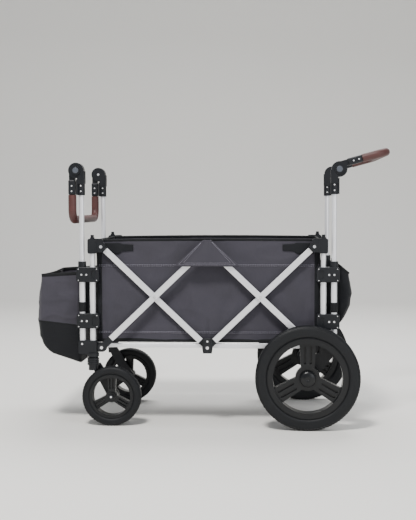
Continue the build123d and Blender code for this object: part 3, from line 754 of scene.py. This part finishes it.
bagShape = {
    "end": -1, "back": 0.4160, "deep": 0.130, "wide": 0.184, "corner": 0.012, "seed": 2.3,
    "bulge": 0.003, "wrinkle": 0.0042, "tuck": 0.008, "dip": 0.004,
    "downs": [0.0, 0.25, 0.62, 0.76, 0.88, 1.0],
    "fronts": [0.5440, 0.5465, 0.5500, 0.5490, 0.5400, 0.5220],
    "halves": [0.1815, 0.183, 0.184, 0.183, 0.181, 0.178],
    "topBack": 0.4885, "topFront": 0.481, "footBack": 0.1965, "footFront": 0.229,
}
pocketShape = {
    "end": 1, "back": 0.4160, "deep": 0.040, "wide": 0.182, "corner": 0.010, "seed": 7.9,
    "bulge": 0.003, "wrinkle": 0.0028, "tuck": 0.004, "dip": 0.003,
    "downs": [0.0, 0.12, 0.35, 0.6, 0.85, 1.0],
    "fronts": [0.452, 0.454, 0.458, 0.451, 0.436, 0.424],
    "halves": [0.180, 0.181, 0.182, 0.181, 0.176, 0.170],
    "topBack": 0.516, "topFront": 0.486, "footBack": 0.320, "footFront": 0.324,
}


def bagBinding(name, ring, tall, wide):  # a bound edge round a bag's mouth
    centre = ring.mean(0)
    normals = ring - centre
    normals[:, 2] = 0
    normals /= np.linalg.norm(normals, axis=1, keepdims=True)
    inner = ring - normals * wide * 0.3
    band = sweptBand(name, inner, normals, roundProfile(wide, tall, 10), True)
    return dress(band, webbingLook)


loops = {"postX": 0.4025, "sideY": 0.213, "wingY": 0.1835, "height": 0.383}


def postLoops(name, end, body):  # webbing loops that hang a bag from both outer posts
    parts = []
    for side in (-1, 1):
        x, y = midX + end * loops["postX"], side * loops["sideY"]
        turns = np.linspace(0, 2 * math.pi, 40, endpoint=False)
        normals = np.stack([np.cos(turns), np.sin(turns), np.zeros(40)], 1)
        path = np.array([x, y, loops["height"]]) + normals * 0.0110
        parts.append(sweptBand("loop", path, normals, roundProfile(0.0018, 0.031, 12), True))
        run = np.linspace(0, 1, 8)
        start = np.array([x + end * 0.0118, y - side * 0.002, loops["height"]])
        stop = np.array([x + end * 0.0150, side * loops["wingY"], loops["height"]])
        line = start[None] * (1 - run[:, None]) + stop[None] * run[:, None]
        out = np.tile([end * 1.0, 0, 0], (8, 1))
        parts.append(sweptBand("tab", line, out, roundProfile(0.0020, 0.030, 12), False))
    obj = dress(joined(name, parts), webbingLook)
    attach(obj, body)
    return obj


def paintedShadeBacking(name, points, end, body):  # black sheet over a bag's back, with two black wings between the posts: painted shade for the shadowed back of the bag seen through the gaps beside the posts; the rear pocket itself is black cloth
    back = midX + end * 0.4195
    inside = [i for i in range(len(points)) if end * (back - points[i, 5, 0]) > 0]
    # a black sheet just outside the bag's back: painted shade
    parts = [solidGrid("back", points[inside] + outward(points, True)[inside] * 0.0008, 0.0012)]
    # two black wings in the gaps between the posts: painted shade
    for side in (-1, 1):
        grid = np.zeros((9, 12, 3))
        for i, reach in enumerate(np.linspace(0.3795, 0.4175, 9)):
            for k, z in enumerate(np.linspace(0.350, 0.472, 12)):
                y = side * (loops["wingY"] + 0.0012 * math.sin(i * 0.9 + k * 0.5))
                grid[i, k] = (midX + end * reach, y, z)
        parts.append(solidGrid("paintedShadeWing", grid, 0.0014))
    obj = dress(joined(name, parts), look["black_cloth"])
    fixNormals(obj)
    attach(obj, body)
    return obj


seamShare = 0.585  # how far down the bag the black part begins
upper = loftBag(bagShape, 0.0, seamShare + 0.012, False)
bagUpper = solidGrid("frontBagUpper", upper, 0.0018, ring=True)
fixNormals(bagUpper)
dress(bagUpper, look["grey_cloth"])
lower = loftBag(bagShape, seamShare, 1.0, True, 26)
lower = lower + outward(lower, True) * 0.0008
bagLower = solidGrid("frontBagLower", lower, 0.0016, ring=True)
fixNormals(bagLower)
dress(bagLower, look["black_cloth"])
bagRim = bagBinding("frontBagRim", upper[:, 0], 0.012, 0.0045)
bagLoops = postLoops("frontBagLoops", -1, "front_frame")
# painted shade over the front bag's grey back
bagPaintedShade = paintedShadeBacking("frontBagPaintedShade", upper, -1, "front_frame")
seamRing = lower[:, 0]
bagSeam = bagBinding("frontBagSeam", seamRing, 0.0055, 0.0030)
for piece in (bagUpper, bagLower, bagRim, bagSeam):
    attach(piece, "front_frame")
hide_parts("front_bag")

pocketGrid = loftBag(pocketShape, 0.0, 1.0, True, 40)
rearPocket = solidGrid("rearPocket", pocketGrid, 0.0018, ring=True)
fixNormals(rearPocket)
dress(rearPocket, look["black_cloth"])
pocketRim = bagBinding("rearPocketRim", pocketGrid[:, 0], 0.011, 0.0045)
pocketLoops = postLoops("rearPocketLoops", 1, "rear_frame")
# painted shade over the rear pocket's back and in the gaps beside it
pocketPaintedShade = paintedShadeBacking("rearPocketPaintedShade", pocketGrid, 1, "rear_frame")
for piece in (rearPocket, pocketRim):
    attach(piece, "rear_frame")
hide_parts("rear_pocket")


print("bags made")


def discAt(centre, axis, radius, tall):  # a low domed disc standing on a face
    axis = np.array(axis, float)
    helper = np.array([1.0, 0, 0]) if abs(axis[0]) < 0.9 else np.array([0, 0, 1.0])
    u = np.cross(axis, helper)
    u /= np.linalg.norm(u)
    v = np.cross(axis, u)
    verts, faces = [], []
    rings = ((1.0, 0.0), (1.0, 0.35), (0.85, 0.75), (0.5, 0.95))
    count = 16
    for share, up in rings:
        for k in range(count):
            a = 2 * math.pi * k / count
            spoke = (u * math.cos(a) + v * math.sin(a)) * radius * share
            verts.append(np.array(centre) + spoke + axis * tall * up)
    for r in range(len(rings) - 1):
        for k in range(count):
            m = (k + 1) % count
            faces.append((r * count + k, r * count + m, (r + 1) * count + m, (r + 1) * count + k))
    faces.append(tuple(range(count))[::-1])
    faces.append(tuple((len(rings) - 1) * count + k for k in range(count)))
    obj = addMesh("disc", verts, faces)
    fixNormals(obj)
    return obj


handle = {"pivotX": 0.418, "pivotZ": 0.820, "sideY": 0.213, "armIn": 0.014, "downs": (0.049, 0.0665)}


def handleRivets(label, end, swing):  # two rivets in a row on each socket, on its outer and inner face
    pivot = np.array([midX + end * handle["pivotX"], 0, handle["pivotZ"]])
    turn = Matrix.Rotation(math.radians(-end * swing), 3, "Y")
    arm, post = [], []
    for y in (-handle["sideY"], handle["sideY"]):
        for face in (-1, 1):
            for down in handle["downs"]:
                spot = np.array(turn @ Vector((end * handle["armIn"], 0, -down)))
                raised = np.array([0, y + face * 0.0125, 0])
                arm.append(discAt(pivot + spot + raised, (0, face, 0), 0.0026, 0.0011))
            for down in handle["downs"]:
                spot = np.array([-end * 0.0155, y + face * 0.0114, -down])
                post.append(discAt(pivot + spot, (0, face, 0), 0.0026, 0.0013))
    for y in (-handle["sideY"], handle["sideY"]):
        inward = -math.copysign(1, y)
        spot = np.array([0, y - math.copysign(0.0135, y), 0])
        post.append(discAt(pivot + spot, (0, inward, 0), 0.0042, 0.0014))
    armPiece = dress(joined(label + "ArmRivets", arm), look["steel"])
    postPiece = dress(joined(label + "PostRivets", post), look["steel"])
    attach(armPiece, label + "_handle")
    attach(postPiece, label + "_handle_post")


handleRivets("front", -1, 0.0)
handleRivets("rear", 1, 105.0)


wheels = {"rear": (0.318, 0.262, 0.165), "front": (-0.309, 0.213, 0.095), "capY": 0.2842, "screwY": 0.2375}
capOutside = [(0.0255, 0.0), (0.0255, 0.0040), (0.0235, 0.0075), (0.0185, 0.0100), (0.0100, 0.0118)]
capInside = [(0.0100, 0.0098), (0.0175, 0.0082), (0.0215, 0.0055), (0.0230, 0.0020), (0.0230, 0.0)]
capMiddle = [(0.0004, 0.0124), (0.0004, 0.0104)]


def hubCap(side):  # a closed domed cap over the axle's end
    centre = np.array([midX + wheels["rear"][0], side * wheels["capY"], wheels["rear"][2]])
    loop = capOutside + capMiddle + capInside
    verts, faces, count = [], [], 40
    for k in range(count):
        a = 2 * math.pi * k / count
        for radius, out in loop:
            verts.append(centre + np.array([math.cos(a) * radius, side * out, math.sin(a) * radius]))
    size = len(loop)
    for k in range(count):
        m = (k + 1) % count
        for s in range(size):
            n = (s + 1) % size
            faces.append((k * size + s, k * size + n, m * size + n, m * size + s))
    label = "Left" if side < 0 else "Right"
    obj = addMesh("rearHubCap" + label, verts, faces)
    fixNormals(obj)
    dress(obj, look["rim"])
    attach(obj, "rear_" + label.lower() + "_wheel")
    screwAt = (midX + wheels["front"][0], side * wheels["screwY"], wheels["front"][2])
    screw = discAt(screwAt, (0, side, 0), 0.0036, 0.0012)
    screw.name = "frontHubScrew" + label
    dress(screw, look["steel"])
    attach(screw, "front_" + label.lower() + "_castor")


for side in (-1, 1):
    hubCap(side)


def treadLugs(name, centre, radius, width, crown, count, body):  # raised blocks on a tyre's shoulders
    verts, faces = [], []
    for row in (-1, 1):
        for k in range(count):
            a = 2 * math.pi * (k + (0.25 if row > 0 else 0)) / count
            radial = np.array([math.cos(a), 0, math.sin(a)])
            tangent = np.array([-math.sin(a), 0, math.cos(a)])
            base = len(verts)
            half = math.pi * radius / count * 0.5
            for deg, up in ((26, -0.0008), (32, 0.0015), (64, 0.0015), (70, -0.0008)):
                t = math.radians(deg)
                y = row * (width / 2 - crown + (crown + up) * math.sin(t))
                r = radius - crown + (crown + up) * math.cos(t)
                for s in (-1, 1):
                    lean = 0.5 * half * (deg - 48) / 22
                    verts.append(centre + radial * r + np.array([0, y, 0]) + tangent * (s * half + lean))
            for ring in range(3):
                q = base + ring * 2
                faces.append((q, q + 1, q + 3, q + 2))
            for s in (0, 1):
                faces.append(tuple(base + i * 2 + s for i in range(4)))
            faces.append((base, base + 1, base + 7, base + 6))
    obj = addMesh(name, verts, faces, smooth=False)
    fixNormals(obj)
    dress(obj, look["tyre"])
    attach(obj, body)


for side, label in ((-1, "Left"), (1, "Right")):
    x, y, radius = wheels["rear"]
    rearAt = np.array([midX + x, side * y, radius])
    treadLugs("rearTread" + label, rearAt, radius, 0.045, 0.0124, 96, "rear_" + label.lower() + "_wheel")
    x, y, radius = wheels["front"]
    frontAt = np.array([midX + x, side * y, radius])
    treadLugs("frontTread" + label, frontAt, radius, 0.040, 0.0100, 60, "front_" + label.lower() + "_wheel")
print("small parts made")


def stageFloor():  # plain pale floor that turns up into a backdrop far behind the cart
    verts, faces = [], []
    bend, start = 1.5, 4.0
    curve = np.linspace(0, math.pi / 2, 14)[1:]
    line = [(-6.0, 0.0), (start, 0.0)]
    line += [(start + bend * math.sin(a), bend - bend * math.cos(a)) for a in curve]
    line += [(start + bend, 6.0)]
    for y, z in line:
        verts.extend([(-9, y, z), (9, y, z)])
    for k in range(len(line) - 1):
        faces.append((2 * k, 2 * k + 1, 2 * k + 3, 2 * k + 2))
    obj = addMesh("stageFloor", verts, faces)
    mat, tree, shader, place = newMaterial("pale studio paper", "#e9e7e2", 0.0, 0.9)
    obj.data.materials.append(mat)


stageFloor()


def areaLight(name, place, aim, size, power, tone):
    data = bpy.data.lights.new(name, "AREA")
    data.shape = "RECTANGLE"
    data.size, data.size_y = size
    data.energy = power
    data.color = tone
    obj = bpy.data.objects.new(name, data)
    bpy.context.collection.objects.link(obj)
    obj.location = place
    obj.rotation_euler = (Vector(aim) - Vector(place)).to_track_quat("-Z", "Y").to_euler()


areaLight("keyLight", (-0.7, -2.3, 3.8), (0, -0.1, 0.35), (0.7, 0.7), 190, (1.0, 0.985, 0.96))
areaLight("fillLight", (2.6, -3.0, 1.5), (0, 0, 0.45), (2.4, 2.2), 45, (0.95, 0.975, 1.0))
areaLight("backLight", (0.2, 1.8, 3.2), (0, 0.9, 0.1), (3.0, 2.0), 110, (1, 1, 1))
world = bpy.data.worlds.new("studio")
bpy.context.scene.world = world
world.use_nodes = True
world.node_tree.nodes["Background"].inputs["Color"].default_value = (0.92, 0.95, 1.0, 1)
world.node_tree.nodes["Background"].inputs["Strength"].default_value = 0.55

camera = {
    "place": (0.2029, -3.4650, 0.6997),
    "yaw": -0.0615,
    "pitch": -0.0510,
    "roll": -0.0033,
    "lens": 70.85,
}


def addCamera():
    data = bpy.data.cameras.new("camera")
    data.lens = camera["lens"]
    data.sensor_width = 36
    data.clip_end = 60
    obj = bpy.data.objects.new("camera", data)
    bpy.context.collection.objects.link(obj)
    yaw, pitch, roll = camera["yaw"], camera["pitch"], camera["roll"]
    ahead = Vector((math.sin(yaw) * math.cos(pitch), math.cos(yaw) * math.cos(pitch), math.sin(pitch)))
    right = Vector((math.cos(yaw), -math.sin(yaw), 0))
    up = right.cross(ahead)
    level = right * math.cos(roll) + up * math.sin(roll)
    upright = up * math.cos(roll) - right * math.sin(roll)
    turn = Matrix((level, upright, -ahead)).transposed().to_4x4()
    spot = Vector(camera["place"]) + Vector((midX, 0, 0))
    obj.matrix_world = Matrix.Translation(spot) @ turn
    bpy.context.scene.camera = obj


addCamera()
print("stage, light and camera made")

bpy.context.view_layer.update()
